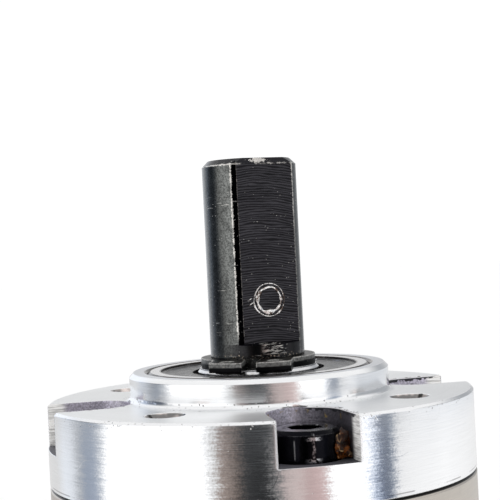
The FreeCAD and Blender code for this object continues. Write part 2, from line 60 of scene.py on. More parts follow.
# Places on the CAD model, in millimetres from its origin
FLANGE_RADIUS = 18.0
BOSS_RADIUS = 11.0
BEARING_SEAT = 9.51             # radius of the bearing's bore in the boss
SEAM = -6.6                     # height of the dark line where flange and housing meet
POCKET_CENTRE = 14.0            # a casing screw's distance from the axis
POCKET_WALL = 2.9               # from a pocket's middle to its wall
POCKET_FLARE = 0.0594           # widening of a pocket's side per millimetre outward
SCREW_SEAT = -4.15
SCREW_TOP = -1.15
SCREW_RADIUS = 2.75
FACE_HOLE_CIRCLE = 14.0
FACE_HOLE_OFFSET = 9.9          # a face hole's distance along X and along Y
FACE_HOLE_RADIUS = 1.25
FACE_HOLE_RIM = 1.62
THREAD_PITCH = 0.5
FLAT_AZIMUTH = radians(9.5)     # the shaft's flat faces -Y, turned by this towards +X
SHAFT_FLAT = 3.0                # from the axis to the flat
FLAT_FOOT = 4.4                 # height of the flat's lower end
TIP_EDGE = 19.35                # height where the shaft's end chamfer begins
BEVEL_OUTER = (-2.86, 2.80)     # edges along the flat: across it, and out from the axis
BEVEL_INNER = (-2.40, 3.0)
FLAT_RIGHT = (2.63, 2.99)
MARK_HEIGHT = 8.0               # height of the set screw's mark


# ---------------------------------------------------------------- node fields

QUARTER_TURN = 0.25             # lays the anisotropic highlight across the turning lines
SMOOTHEST = 0.04                # no surface is glossier than this roughness


class Field:
    """A value that varies over a surface: the output of a shader node, with arithmetic on it."""

    def __init__(self, tree, socket):
        self.tree = tree
        self.socket = socket

    def math(self, operation, *others):
        node = self.tree.nodes.new("ShaderNodeMath")
        node.operation = operation
        plug(self.tree, node.inputs[0], self)
        for index, other in enumerate(others):
            plug(self.tree, node.inputs[index + 1], other)
        return Field(self.tree, node.outputs[0])

    def __add__(self, other):
        return self.math("ADD", other)

    def __sub__(self, other):
        return self.math("SUBTRACT", other)

    def __mul__(self, other):
        return self.math("MULTIPLY", other)

    def __truediv__(self, other):
        return self.math("DIVIDE", other)

    def __neg__(self):
        return self.math("MULTIPLY", -1.0)

    def __rsub__(self, other):
        return -self + other

    def least(self, other):
        return self.math("MINIMUM", other)

    def most(self, other):
        return self.math("MAXIMUM", other)

    def size(self):
        return self.math("ABSOLUTE")

    # shares from 0 to 1 combine with & (both) and | (either)
    __radd__ = __add__
    __rmul__ = __and__ = __mul__
    __or__ = most

    def hypot(self, other):
        return (self * self + other * other).math("SQRT")

    def step(self, low, high):
        """0 below low and 1 above high, or the other way round when high is the smaller."""
        node = self.tree.nodes.new("ShaderNodeMapRange")
        node.interpolation_type = "SMOOTHSTEP"
        plug(self.tree, node.inputs["Value"], self)
        if low < high:
            ends = (low, high, 0.0, 1.0)
        else:
            ends = (high, low, 1.0, 0.0)
        for name, value in zip(("From Min", "From Max", "To Min", "To Max"), ends):
            node.inputs[name].default_value = value
        return Field(self.tree, node.outputs[0])

    def band(self, low, high, soft):
        """1 between low and high, fading to 0 over soft on either side."""
        return self.step(low - soft, low) * self.step(high + soft, high)


def plug(tree, entry, value):
    """Feeds a node's input from a field, or sets it to a plain value."""
    if isinstance(value, Field):
        tree.links.new(value.socket, entry)
    else:
        entry.default_value = value


def mixed(tree, share, first, second):
    """The first colour with a share of the second over it."""
    node = tree.nodes.new("ShaderNodeMix")
    node.data_type = "RGBA"
    plug(tree, node.inputs["Factor"], share)
    entries = [entry for entry in node.inputs if entry.type == "RGBA"]
    for entry, value in zip(entries, (first, second)):
        plug(tree, entry, value if isinstance(value, Field) else (*value, 1.0))
    return Field(tree, next(output for output in node.outputs if output.type == "RGBA"))


class Surface:
    """A principled node material under construction.

    x, y, z are object millimetres, radius is the distance from the shaft's axis, and here is
    the point itself.
    """

    def __init__(self, name, metallic=1.0, specular=0.5, anisotropic=0.0):
        self.material = bpy.data.materials.new(name)
        self.material.use_nodes = True
        self.tree = self.material.node_tree
        self.shader = self.tree.nodes["Principled BSDF"]
        self.shader.inputs["Metallic"].default_value = metallic
        self.shader.inputs["Specular IOR Level"].default_value = specular
        if anisotropic:
            self.shader.inputs["Anisotropic"].default_value = anisotropic
            self.shader.inputs["Anisotropic Rotation"].default_value = QUARTER_TURN
            tangent = self.node("ShaderNodeTangent", direction_type="RADIAL", axis="Z")
            self.tree.links.new(tangent.outputs[0], self.shader.inputs["Tangent"])
        texture = self.tree.nodes.new("ShaderNodeTexCoord")
        scaled = self.vector("SCALE", Field(self.tree, texture.outputs["Object"]))
        scaled.socket.node.inputs["Scale"].default_value = 1.0 / MM
        self.x, self.y, self.z = self.parts(scaled)
        self.here = self.point(self.x, self.y, self.z)
        self.normal = Field(self.tree, texture.outputs["Normal"])
        self.radius = self.x.hypot(self.y)

    def node(self, kind, **settings):
        made = self.tree.nodes.new(kind)
        for name, value in settings.items():
            setattr(made, name, value)
        return made

    def vector(self, operation, *terms):
        made = self.node("ShaderNodeVectorMath", operation=operation)
        for index, term in enumerate(terms):
            plug(self.tree, made.inputs[index], term)
        return Field(self.tree, made.outputs[0])

    def parts(self, vector):
        made = self.node("ShaderNodeSeparateXYZ")
        plug(self.tree, made.inputs[0], vector)
        return [Field(self.tree, output) for output in made.outputs]

    def point(self, x, y, z):
        made = self.node("ShaderNodeCombineXYZ")
        for entry, value in zip(made.inputs, (x, y, z)):
            plug(self.tree, entry, value)
        return Field(self.tree, made.outputs[0])

    def stretched(self, x, y, z):
        """The point with its coordinates scaled, which squeezes a texture along each of them."""
        return self.point(self.x * x, self.y * y, self.z * z)

    def facing(self, direction):
        """How far the surface faces a fixed direction of the object, from -1 to 1."""
        made = self.node("ShaderNodeVectorMath", operation="DOT_PRODUCT")
        plug(self.tree, made.inputs[0], self.normal)
        made.inputs[1].default_value = direction
        return Field(self.tree, made.outputs["Value"])

    def noise(self, where, scale=1.0, detail=2.0, roughness=0.5, seed=0.0):
        """Smooth noise from 0 to 1, mostly near 0.5; scale is in lumps per millimetre."""
        made = self.node("ShaderNodeTexNoise", noise_dimensions="4D")
        plug(self.tree, made.inputs["Vector"], where)
        made.inputs["W"].default_value = seed
        made.inputs["Scale"].default_value = scale
        made.inputs["Detail"].default_value = detail
        made.inputs["Roughness"].default_value = roughness
        return Field(self.tree, made.outputs["Fac"])

    def cells(self, where, scale):
        """Distance to the nearest scattered point, in units of one cell."""
        made = self.node("ShaderNodeTexVoronoi")
        plug(self.tree, made.inputs["Vector"], where)
        made.inputs["Scale"].default_value = scale
        return Field(self.tree, made.outputs["Distance"])

    def spots(self, scale, size, share, stretch=(1, 1, 1), seed=0.0):
        """Scattered specks: size in cells, share the part of the surface that has any."""
        where = self.stretched(*stretch)
        ragged = self.noise(where, scale * 3.1, 1.0, seed=seed + 3.0) * size
        near = self.cells(where, scale)
        some = self.noise(where, scale * 0.31, 1.0, seed=seed).step(1.0 - share, 1.02 - share)
        return (ragged * 1.6 - near).step(0.0, size * 0.4) & some

    def edges(self, reach):
        """How sharply the surface turns within reach millimetres: 0 on open faces, to about 0.3."""
        rounded = self.node("ShaderNodeBevel", samples=6)
        rounded.inputs["Radius"].default_value = reach * MM
        plain = self.node("ShaderNodeNewGeometry")
        turn = self.node("ShaderNodeVectorMath", operation="DOT_PRODUCT")
        self.tree.links.new(rounded.outputs[0], turn.inputs[0])
        self.tree.links.new(plain.outputs["Normal"], turn.inputs[1])
        return 1.0 - Field(self.tree, turn.outputs["Value"])

    def turning(self, fine, around=0.5, seed=0.0, detail=3.0):
        """Noise drawn out into circles about the axis, on walls and faces alike."""
        across = self.radius + self.z * 1.37
        return self.noise(self.point(self.x * around / fine, self.y * around / fine, across),
                          fine, detail, 0.6, seed)

    def paint(self, base, *layers):
        """A base colour with (share, colour) layers over it."""
        colour = base
        for share, over in layers:
            colour = mixed(self.tree, share, colour, over)
        plug(self.tree, self.shader.inputs["Base Color"], colour)

    def shade(self, colour, factor):
        """A colour multiplied by a field."""
        return self.vector("MULTIPLY", self.point(*colour), self.point(factor, factor, factor))

    def rough(self, value):
        plug(self.tree, self.shader.inputs["Roughness"], value.least(1.0).most(SMOOTHEST))

    def relief(self, height, edge=None, swing=None):
        """Height in millimetres as bump, edge as a rounding radius, swing as a sideways tilt
        of the rounded normal."""
        bump = self.node("ShaderNodeBump")
        bump.inputs["Strength"].default_value = 1.0
        bump.inputs["Distance"].default_value = MM
        plug(self.tree, bump.inputs["Height"], height)
        if edge is not None:
            rounded = self.node("ShaderNodeBevel", samples=4)
            plug(self.tree, rounded.inputs["Radius"], edge * MM)
            start = Field(self.tree, rounded.outputs[0])
            if swing is not None:
                start = self.swung(swing, start)
            plug(self.tree, bump.inputs["Normal"], start)
        plug(self.tree, self.shader.inputs["Normal"], Field(self.tree, bump.outputs[0]))

    def swung(self, amount, start):
        """A normal leaned around the axis by a field, as long waves in a turned wall do."""
        lean = self.point(self.y / self.radius * amount, -(self.x / self.radius) * amount, 0.0)
        turn = self.node("ShaderNodeVectorTransform", vector_type="VECTOR",
                         convert_from="OBJECT", convert_to="WORLD")
        plug(self.tree, turn.inputs[0], lean)
        total = self.vector("ADD", start, Field(self.tree, turn.outputs[0]))
        return self.vector("NORMALIZE", total)


# ---------------------------------------------------------------- materials

def pocket_zone(metal):
    """Two shares and a distance for the screw pockets: inside, on their walls and floors;
    straight, on their flat side walls; and reach, the distance from a pocket's middle, which
    is POCKET_WALL all along its wall."""
    along = metal.x.size().most(metal.y.size())
    aside = metal.x.size().least(metal.y.size())
    beyond = along - POCKET_CENTRE
    reach = beyond.least(0.0).hypot(aside) - beyond.most(0.0) * POCKET_FLARE
    below = metal.z.band(SCREW_SEAT - 0.25, -0.03, 0.02)
    under_rim = metal.radius.step(FLANGE_RADIUS - 0.03, FLANGE_RADIUS - 0.07)
    inside = reach.step(POCKET_WALL + 0.04, POCKET_WALL + 0.025) & below
    inside = inside & along.step(10.8, 10.9) & under_rim
    straight = reach.step(POCKET_WALL - 0.05, POCKET_WALL - 0.02) & along.step(13.9, 14.1) & inside
    return inside, straight, reach


def pocket_side(metal):
    """Distance sideways from the nearest pocket's middle, positive on the right from outside."""
    on_x = metal.x.size().math("GREATER_THAN", metal.y.size())
    return (metal.y * metal.x.math("SIGN") * on_x
            - metal.x * metal.y.math("SIGN") * (1.0 - on_x))


def turned_aluminium():
    """The flange: bright turned walls, satin faces, and darker milled screw pockets with painted
    shade and painted highlights.
    """
    metal = Surface("turned_aluminium", anisotropic=0.6)
    inside, straight, reach = pocket_zone(metal)
    right = pocket_side(metal)
    outward = metal.x.size().most(metal.y.size())
    upward = metal.facing((0, 0, 1)).step(0.7, 0.95)
    side = metal.facing((0, 0, 1)).size().step(0.5, 0.2)

    # textures: turning lines, soft clouds, the milled walls' streaks and their frosted grain
    lines = metal.turning(7.0, 0.25)
    broad = metal.turning(1.6, 0.12, 5.0)
    cloud = metal.noise(metal.here, 0.35, 3.0, 0.6, 9.0)
    milled = metal.noise(metal.stretched(0.6, 0.6, 7.0), 1.0, 3.0, 0.6, 2.0)
    frost = metal.noise(metal.here, 6.0, 3.0, 0.7, 12.0)
    torn = metal.noise(metal.stretched(1.0, 1.0, 0.3), 2.2, 2.0, 0.6, 14.0)

    # specks of dirt, thickest round the boss's foot and along the flange's rim
    foot = metal.radius.band(BOSS_RADIUS, BOSS_RADIUS + 0.75, 0.1) & metal.z.band(-0.1, 0.5, 0.1)
    rim = (metal.radius.step(FLANGE_RADIUS - 0.6, FLANGE_RADIUS - 0.2)
           & metal.z.band(-0.5, 0.1, 0.1))
    side_specks = metal.spots(3.2, 0.17, 0.34, seed=13.0) & side * 0.22
    edge_specks = metal.spots(3.4, 0.3, 0.52, seed=4.0) & (foot | rim * 0.6)
    specks = metal.spots(2.3, 0.16, 0.30) | side_specks | edge_specks

    # the flange's lower edge, and a line scored just above it
    seam = metal.z.step(SEAM + 0.02, SEAM - 0.06) & metal.radius.step(15.0, 16.0)
    score = metal.z.band(-6.30, -6.22, 0.03) & cloud.step(0.44, 0.56) & side

    # a pocket's right wall: a painted highlight along its top, a dark, torn line under it, and dark
    # marks on the face beside it
    right_wall = right.step(0.6, 1.3) & outward.step(17.2, 16.8)
    wall_top = inside & reach.step(POCKET_WALL - 0.05, POCKET_WALL - 0.02) & right_wall
    ridge = torn.step(0.40, 0.58) * 0.20 + 0.05
    rim_highlight = wall_top & metal.z.step(-0.12, -0.10)
    torn_line = wall_top & metal.z.step(-0.09, -0.11) & (metal.z + ridge).step(-0.12, -0.10)
    rim_marks = (reach.band(POCKET_WALL + 0.03, POCKET_WALL + 0.40, 0.05) & torn.step(0.55, 0.61)
            & right_wall & metal.z.step(-0.05, -0.02) & metal.z.step(0.05, 0.02))

    # the rest of a pocket: painted shade on its floor, amber stains, painted shade on the front
    # one's right side, and a painted highlight on the milled outer ends of the straight walls
    shaded_floor = inside & upward
    amber = (metal.spots(1.3, 0.5, 0.5, seed=31.0) & metal.z.band(-0.75, -0.3, 0.15)
             & inside & (1.0 - straight))
    # painted shade: the front pocket's walls darken towards its right side
    front_pocket_shade = metal.y.step(-9.0, -10.0) & right.step(-0.8, 2.2)
    wall = metal.shade((0.58, 0.55, 0.65), (milled * 0.4 + frost.step(0.3, 0.7) * 0.8 + 0.30)
                       * (1.0 - front_pocket_shade * 0.86))
    # painted highlight: the outer ends of the pockets' straight walls, near white with milled
    # streaks
    mouth_highlight = straight & outward.step(15.9, 16.7)
    jamb = milled.step(0.3, 0.7) * 0.7 + 0.55
    lip = (metal.radius.step(FLANGE_RADIUS - 0.20, FLANGE_RADIUS - 0.14)
           & right.size().band(3.0, 3.45, 0.1) & metal.z.step(-3.7, -3.5))

    # fine scratches on the side, painted shade where the bearing sits in the boss, and the face
    # holes' bores, brown with dirt and darkened with painted shade
    waves = metal.noise(metal.here, 0.22, 1.0, 0.5, 23.0)
    patchy = metal.noise(metal.here, 0.5, 1.0, 0.5, 29.0).step(0.52, 0.60)
    scratch = (waves - 0.5).size().step(0.0035, 0.0012) & patchy & side
    boss = metal.z.step(0.2, 0.5)
    gap_shade = metal.radius.step(BEARING_SEAT + 0.27, BEARING_SEAT + 0.15) & metal.z.step(1.9, 2.0)
    hole_x, hole_y = metal.x.size() - FACE_HOLE_OFFSET, metal.y.size() - FACE_HOLE_OFFSET
    bore = (hole_x.hypot(hole_y).step(FACE_HOLE_RIM - 0.02, FACE_HOLE_RIM - 0.07)
            & metal.z.step(0.02, -0.04))

    bright = metal.shade((0.93, 0.935, 0.945), lines * 0.16 + broad * 0.06 + 0.88)
    matt = metal.shade((0.80, 0.815, 0.825), lines * 0.12 + cloud * 0.2 + 0.84)
    # brown dirt in the face holes' bores, darkened as painted shade
    bore_dirt_and_shade = metal.shade((0.60, 0.52, 0.49), cloud.step(0.44, 0.56) * 1.3 + 0.12)
    metal.paint(bright,
                (upward * 0.55, matt),
                (boss & upward * 0.6, (0.60, 0.62, 0.67)),
                (inside, wall),
                (mouth_highlight, metal.shade((0.98, 0.97, 0.95), jamb)),
                # painted shade on the pockets' floors
                (shaded_floor * 0.9, metal.shade((0.06, 0.06, 0.07), frost + 0.5)),
                (bore * 0.85, bore_dirt_and_shade),
                (amber * 0.7, (0.34, 0.24, 0.05)),
                # painted highlight along the top of the pockets' right walls
                (rim_highlight * 0.9, (0.88, 0.88, 0.90)),
                ((torn_line | rim_marks) * 0.95, (0.008, 0.008, 0.011)),
                (scratch * 0.35, (0.95, 0.95, 0.95)),
                # painted shade between the boss and the bearing
                (gap_shade * (0.5 + frost * 0.8), (0.05, 0.035, 0.028)),
                (specks & (1.0 - inside) * 0.8, (0.07, 0.06, 0.05)),
                (score * 0.6, (0.22, 0.21, 0.21)),
                (seam * 0.95, (0.02, 0.02, 0.02)))
    metal.rough(lines * 0.05 + broad * 0.04 + upward * 0.24 + boss * 0.03 + cloud * 0.05
                + inside * 0.20 + mouth_highlight * 0.28 + specks * 0.3 + scratch * 0.10 + lip * 0.08 + 0.05)
    plug(metal.tree, metal.shader.inputs["Metallic"],
         1.0 - inside * 0.5 - (mouth_highlight | rim_highlight) * 0.4)
    streaks = (metal.turning(9.0, 0.35, 7.0, 3.0) * 0.7
               + metal.turning(3.2, 0.4, 11.0, 1.0) * 0.3 - 0.5)
    lean = (streaks * 0.13 + (frost - 0.5) * 0.11 + scratch * 0.05) * side * (1.0 - inside)
    metal.relief(lines * 0.0025 + milled * inside * 0.03 + frost * inside * 0.02 - specks * 0.02,
                 edge=lip * 0.22 + 0.09, swing=lean)
    return metal.material


def satin_steel(name, colour, fine=5.0, rough=0.30, depth=0.004, dirt=0.25):
    """Ground or turned steel with circular marks, faint clouds and a little soiling; fine is
    the marks' scale and depth their height in millimetres."""
    metal = Surface(name, anisotropic=0.2)
    lines = metal.turning(fine, 0.3)
    cloud = metal.noise(metal.here, 0.3, 4.0, 0.6, 2.0)
    specks = metal.spots(2.0, 0.14, 0.3, seed=6.0)
    grain = metal.noise(metal.here, 9.0, 2.0, 0.6, 5.0)
    metal.paint(metal.shade(colour, lines * 0.35 + cloud * 0.3 + 0.68),
                (cloud.step(0.55, 0.75) * dirt, tuple(c * 0.55 for c in colour)),
                (specks * 0.7, (0.09, 0.08, 0.07)),
                (metal.z.band(SEAM - 0.19, SEAM, 0.03) * 0.95, (0.02, 0.02, 0.02)))
    metal.rough(lines * 0.12 + cloud * 0.10 + grain * 0.06 + (rough - 0.12))
    metal.relief(lines * depth + grain * 0.003 - specks * 0.01, edge=0.08)
    return metal.material


def shaft_axes(metal):
    """Distance across the flat, and distance out from the axis towards it."""
    across = metal.x * cos(FLAT_AZIMUTH) + metal.y * sin(FLAT_AZIMUTH)
    out = metal.x * sin(FLAT_AZIMUTH) - metal.y * cos(FLAT_AZIMUTH)
    return across, out


def black_oxide_shaft():
    """The blackened output shaft with its milled flat, worn edges and scratches."""
    metal = Surface("black_oxide_shaft")
    across, out = shaft_axes(metal)
    z = metal.z

    def nearness(edge):
        """Minus the distance from one of the shaft's lengthwise edges."""
        return (across - edge[0]).hypot(out - edge[1]) * -1.0

    # faces
    flat = metal.facing((sin(FLAT_AZIMUTH), -cos(FLAT_AZIMUTH), 0)).step(0.985, 0.995)
    bevel = (across.band(-2.84, -2.41, 0.02) & out.step(2.77, 2.79)
             & z.step(FLAT_FOOT - 0.04, FLAT_FOOT - 0.01) & (1.0 - flat))
    # painted shadow on the step at the flat's lower end
    ledge_shadow = z.band(FLAT_FOOT - 0.04, FLAT_FOOT + 0.06, 0.03) & out.step(2.9, 2.98)
    tip = z.step(TIP_EDGE - 0.02, TIP_EDGE + 0.02)

    # the milling cutter's bowed marks on the flat, wandering and uneven
    bow = z + across * across * 0.035 + across * 0.05
    stray = metal.noise(metal.point(across * 0.3, 0.0, bow * 1.6), 1.0, 2.0, 0.6, 31.0)
    comb = (bow * 30.0 + stray * 17.0).math("SINE") * 0.5 + 0.5
    coarse = metal.noise(metal.point(across * 0.8, 0.0, bow * 9.0), 1.0, 3.0, 0.7, 3.0)
    cutter = coarse * 0.64 + comb * 0.36
    sweep = metal.noise(metal.point(across * 0.15, 0.0, bow * 1.1), 1.0, 1.0, 0.5, 8.0)

    # textures of the round wall
    fine = metal.turning(8.0, 0.2, 1.0)
    cloud = metal.noise(metal.here, 0.8, 3.0, 0.6, 4.0)
    ragged = metal.noise(metal.here, 4.0, 3.0, 0.75, 12.0)
    mottle = metal.noise(metal.here, 7.0, 2.0, 0.7, 19.0).step(0.40, 0.60)
    pits = metal.spots(3.2, 0.22, 0.48, seed=2.0)
    nicks = metal.spots(2.6, 0.20, 0.46, (1.0, 1.0, 2.0), 8.0)
    rub = metal.noise(metal.stretched(1.2, 1.2, 6.0), 1.0, 3.0, 0.7, 6.0)
    hair = metal.noise(metal.point(across * 0.7, out * 0.7, z * 9.0), 1.0, 2.0, 0.7, 17.0)

    # metal worn bare along the bevel's two edges, the flat's right edge and round the tip
    outer_edge = nearness(BEVEL_OUTER) + ragged * 0.42 + cloud * 0.16
    inner_edge = nearness(BEVEL_INNER) + ragged * 0.16
    right_edge = nearness(FLAT_RIGHT) + ragged * 0.30 + cloud * 0.10
    worn = ((outer_edge.step(0.20, 0.27) & z.step(4.6, 5.6))
            | (inner_edge.step(0.05, 0.09) * 0.3 & z.step(4.4, 5.0))
            | (right_edge.step(0.12, 0.18) & (z.step(13.0, 16.5) * 0.6 + 0.25)))
    rim = (z - (TIP_EDGE + 0.02)).size() * -1.0 + ragged * 0.36
    uneven = across.step(-1.8, -2.6) | (cloud.step(0.50, 0.60) * 0.7)
    crown = (z - (TIP_EDGE + 0.31)).size() * -0.75 + (across + 0.40).size() * -0.24 + ragged * 0.8
    worn = worn | (rim.step(0.10, 0.17) & uneven) | (crown.step(0.16, 0.24) & out.step(2.0, 2.5))

    # the foot above the retaining ring: dark and scuffed, with painted shade as a black band
    # between the ring's lugs
    foot = z.band(3.3, 4.4, 0.1) & out.step(0.9, 3.1)
    gap_shade = across.band(-1.25, 0.0, 0.3) & z.step(3.75, 3.45) & out.step(2.5, 3.0)
    scuffs = ((rub.step(0.50, 0.57) & foot & (across + 0.1).size().step(1.3, 0.5)
               & z.step(3.5, 3.7))
              | (hair.step(0.56, 0.64) & z.band(3.3, 3.5, 0.1) & out.step(0.5, 1.5)) * 0.5)
    rust = (metal.spots(4.2, 0.42, 0.8, seed=5.0) & z.band(3.25, 3.55, 0.12)) * 0.8

    # scratches round the wall in three belts, and its polished stretch beside the bevel
    belts = z.band(15.9, 16.6, 0.25) | z.band(8.7, 8.9, 0.2) * 0.9 | z.band(5.4, 6.1, 0.3)
    broken = metal.noise(metal.here, 0.7, 1.0, seed=21.0).step(0.42, 0.52)
    scratches = hair.step(0.60, 0.66) & belts & (1.0 - flat) & broken
    polished = (across + 2.7).size().step(1.1, 0.4) & out.step(1.2, 2.2) & cloud.step(0.32, 0.50)

    bare = worn | (nicks * 0.55) | (scuffs * 0.9) | (scratches * 0.8)
    round_tone = ((fine * 0.25 + cloud * 0.6 + mottle * 0.65 + 0.15)
                  * (z.step(5.0, 13.0) * 0.28 + 0.72) * (polished * 0.50 + 0.74))
    flat_tone = (cutter.step(0.28, 0.72) * 1.1 + 0.35) * (sweep * 0.8 + 0.6)
    metal.paint(metal.shade((0.150, 0.155, 0.150), round_tone),
                (flat, metal.shade((0.041, 0.040, 0.045), flat_tone)),
                (tip * 0.85, (0.03, 0.03, 0.034)),
                (foot * 0.9, metal.shade((0.020, 0.019, 0.021), ragged * 0.9 + 0.5)),
                (pits * (1.0 - flat) * 0.7, (0.03, 0.03, 0.03)),
                # painted shade: the step under the flat and the band between the ring's lugs
                # painted near black, and the bevel painted the same
                (bevel | ledge_shadow | gap_shade, (0.006, 0.006, 0.008)),
                (rust, (0.36, 0.30, 0.24)),
                (bare, metal.shade((0.80, 0.78, 0.74), ragged * 0.8 + 0.5)))
    metal.rough(fine * 0.05 + cloud * 0.07 + flat * 0.25 + cutter * flat * 0.12 + bare * 0.16
                + 0.09)
    metal.relief(fine * 0.0020 + cutter * flat * 0.035 - pits * 0.012 - bare * 0.02
                 + ragged * 0.003, edge=0.06)
    return metal.material


def from_screw(metal):
    """Distance from the axis of the nearest of the four screws in the front face."""
    along = metal.x.size().most(metal.y.size()) - POCKET_CENTRE
    aside = metal.x.size().least(metal.y.size())
    return along.hypot(aside)


def black_screws():
    """Black oxide socket screws, worn bright on their edges, with painted highlights down the sides
    of their heads.
    """
    metal = Surface("black_screws")
    away = from_screw(metal)
    right = pocket_side(metal)
    fine = metal.noise(metal.here, 6.0, 3.0, 0.6, 1.0)
    cloud = metal.noise(metal.here, 1.1, 3.0, 0.6, 2.0)
    wobble = cloud - 0.5

    crown = (metal.z.step(SCREW_TOP - 0.17, SCREW_TOP - 0.07)
             & (away + wobble * 0.4).band(1.76, 2.10, 0.10))
    lip = (away - 1.45).size().step(0.13, 0.04) & metal.z.step(SCREW_TOP - 0.15, SCREW_TOP - 0.05)
    worn = metal.edges(0.16).step(0.03, 0.14) & fine.step(0.36, 0.56)
    wall = (away.step(SCREW_RADIUS - 0.20, SCREW_RADIUS - 0.05)
            & metal.z.band(SCREW_SEAT - 0.05, SCREW_TOP - 0.15, 0.1))
    # painted highlights on each head's side: a vertical streak, a thin glint and bright spots at
    # the streak's ends
    streak = (right + 0.15 + wobble * 0.7).size().step(0.16, 0.04) & fine.step(0.46, 0.60)
    glint = (right + 1.50).size().step(0.06, 0.02) & metal.z.band(-3.1, -1.9, 0.2)
    ends = ((right + 0.15).size().step(0.75, 0.15)
            & (metal.z.band(-1.80, -1.62, 0.08) | metal.z.band(-3.4, -3.2, 0.10)))
    painted_glints = (streak * 0.6 | glint * 0.30 | (ends & fine.step(0.42, 0.52))) & wall
    bare = ((crown & cloud.step(0.30, 0.46)) | (lip * 0.5) | (worn * 0.22) | painted_glints
            | (metal.spots(3.0, 0.2, 0.4, seed=3.0) * 0.6))

    metal.paint(metal.shade((0.006, 0.006, 0.008), fine * 0.5 + cloud * 0.6 + 0.5),
                # worn bare metal, with the painted highlights
                (bare * 0.85, (0.56, 0.56, 0.58)))
    metal.rough(fine * 0.08 + cloud * 0.08 + 0.10)
    metal.relief(fine * 0.012 + cloud * 0.03, edge=0.14)
    return metal.material


def clip_steel():
    """The stamped retaining ring: on its sides a lighter shear band over a black band, partly the
    stamping's zones and partly painted reflection above and painted shade below, and painted
    highlights on the upper edges.
    """
    metal = Surface("clip_steel")
    grain = metal.noise(metal.here, 5.0, 3.0, 0.7, 1.0)
    cloud = metal.noise(metal.here, 1.2, 3.0, 0.6, 2.0)
    level = metal.z + (cloud - 0.5) * 0.2
    upper = level.step(2.76, 2.90)
    edge = metal.edges(0.20).step(0.015, 0.07) & upper
    side = metal.facing((0, 0, 1)).size().step(0.8, 0.5)
    # painted reflection: the sides' upper band made lighter, over the shear band's own tone
    shear_band_and_sheen = metal.shade((0.20, 0.20, 0.195), grain.step(0.3, 0.7) * 1.1 + 0.25)
    # painted highlight colour for the upper edges
    worn = metal.shade((0.62, 0.61, 0.58), grain.step(0.3, 0.6) * 0.9 + 0.30)
    metal.paint(metal.shade((0.034, 0.032, 0.031), grain * 0.9 + 0.5),
                (side & upper * 0.9, shear_band_and_sheen),
                # painted shade on the sides' lower band, over its own black
                (side & (1.0 - upper), metal.shade((0.008, 0.008, 0.009), grain + 0.5)),
                (edge * 0.9, worn),
                (metal.spots(3.0, 0.28, 0.4, seed=2.0) * 0.7, (0.4, 0.37, 0.32)))
    plug(metal.tree, metal.shader.inputs["Metallic"], 1.0 - (side & upper) * 0.7)
    metal.rough(grain * 0.3 + 0.22)
    metal.relief(grain * 0.02, edge=0.16)
    return metal.material


def shield_steel():
    """Pressed bearing shield under a broken film of oil, with painted glints on its oil droplets
    and painted shade along its edges.
    """
    metal = Surface("shield_steel")
    rings = metal.turning(3.0, 0.2, 1.0)
    film = metal.noise(metal.here, 1.1, 4.0, 0.7, 2.0)
    drops_and_glints = metal.spots(1.7, 0.28, 0.42, seed=1.0)
    beads_and_glints = metal.spots(4.5, 0.22, 0.40, seed=7.0) * 0.6
    # painted shade along the shield's outer and inner edges
    border_shade = metal.radius.step(7.7, 7.95) | metal.radius.step(5.85, 5.75)
    metal.paint(metal.shade((0.11, 0.11, 0.12), rings * 0.7 + 0.5),
                (film.step(0.42, 0.50) * 0.92, (0.016, 0.016, 0.020)),
                (film.step(0.58, 0.64) * 0.7, (0.24, 0.26, 0.34)),
                (border_shade * 0.85, (0.02, 0.02, 0.022)),
                # painted glints on the oil droplets
                ((drops_and_glints | beads_and_glints) * 0.75, (0.66, 0.66, 0.68)))
    metal.rough(rings * 0.12 + film * 0.3 + 0.08)
    metal.relief(rings * 0.015 + film * 0.08 + drops_and_glints * 0.05 + beads_and_glints * 0.03, edge=0.06)
    return metal.material


def bearing_steel():
    """Ground bearing rings: bright and finely lined, with patches of brown oil and painted shade
    along the outer ring's edges.
    """
    metal = Surface("bearing_steel", anisotropic=0.3)
    rings = metal.turning(9.0, 0.2, 1.0)
    film = metal.noise(metal.here, 1.3, 4.0, 0.65, 3.0)
    front = metal.z.step(1.3, 1.6)
    # painted shade along the outer ring's edges, beside the boss and the shield
    edge = (metal.radius.band(9.22, 9.6, 0.05) | metal.radius.band(8.10, 8.42, 0.05)) & front
    inner = metal.radius.step(5.7, 5.5) & front
    metal.paint(metal.shade((0.80, 0.80, 0.815), rings * 0.22 + film * 0.2 + 0.70),
                (film.step(0.56, 0.70) * 0.35, (0.30, 0.27, 0.22)),
                (inner & metal.facing((0, 0, 1)).step(0.9, 0.97) * 0.75, (0.16, 0.16, 0.17)),
                # painted shade on the outer ring's edges
                (edge * (film.step(0.3, 0.5) * 0.4 + 0.55), (0.04, 0.03, 0.025)),
                (metal.spots(2.6, 0.2, 0.4, seed=5.0) * 0.7, (0.12, 0.10, 0.08)))
    metal.rough(rings * 0.10 + film * 0.12 + 0.09)
    metal.relief(rings * 0.003 + film * 0.004, edge=0.10)
    return metal.material


def thread_metal():
    """Cut aluminium threads with brown dirt in them."""
    metal = Surface("thread_metal")
    grain = metal.noise(metal.here, 6.0, 3.0, 0.6, 1.0)
    cloud = metal.noise(metal.here, 1.5, 2.0, 0.6, 4.0)
    metal.paint(metal.shade((0.78, 0.77, 0.76), grain * 0.4 + 0.65),
                (cloud.step(0.5, 0.7) * 0.5, (0.30, 0.22, 0.18)))
    metal.rough(grain * 0.2 + 0.18)
    metal.relief(grain * 0.008)
    return metal.material


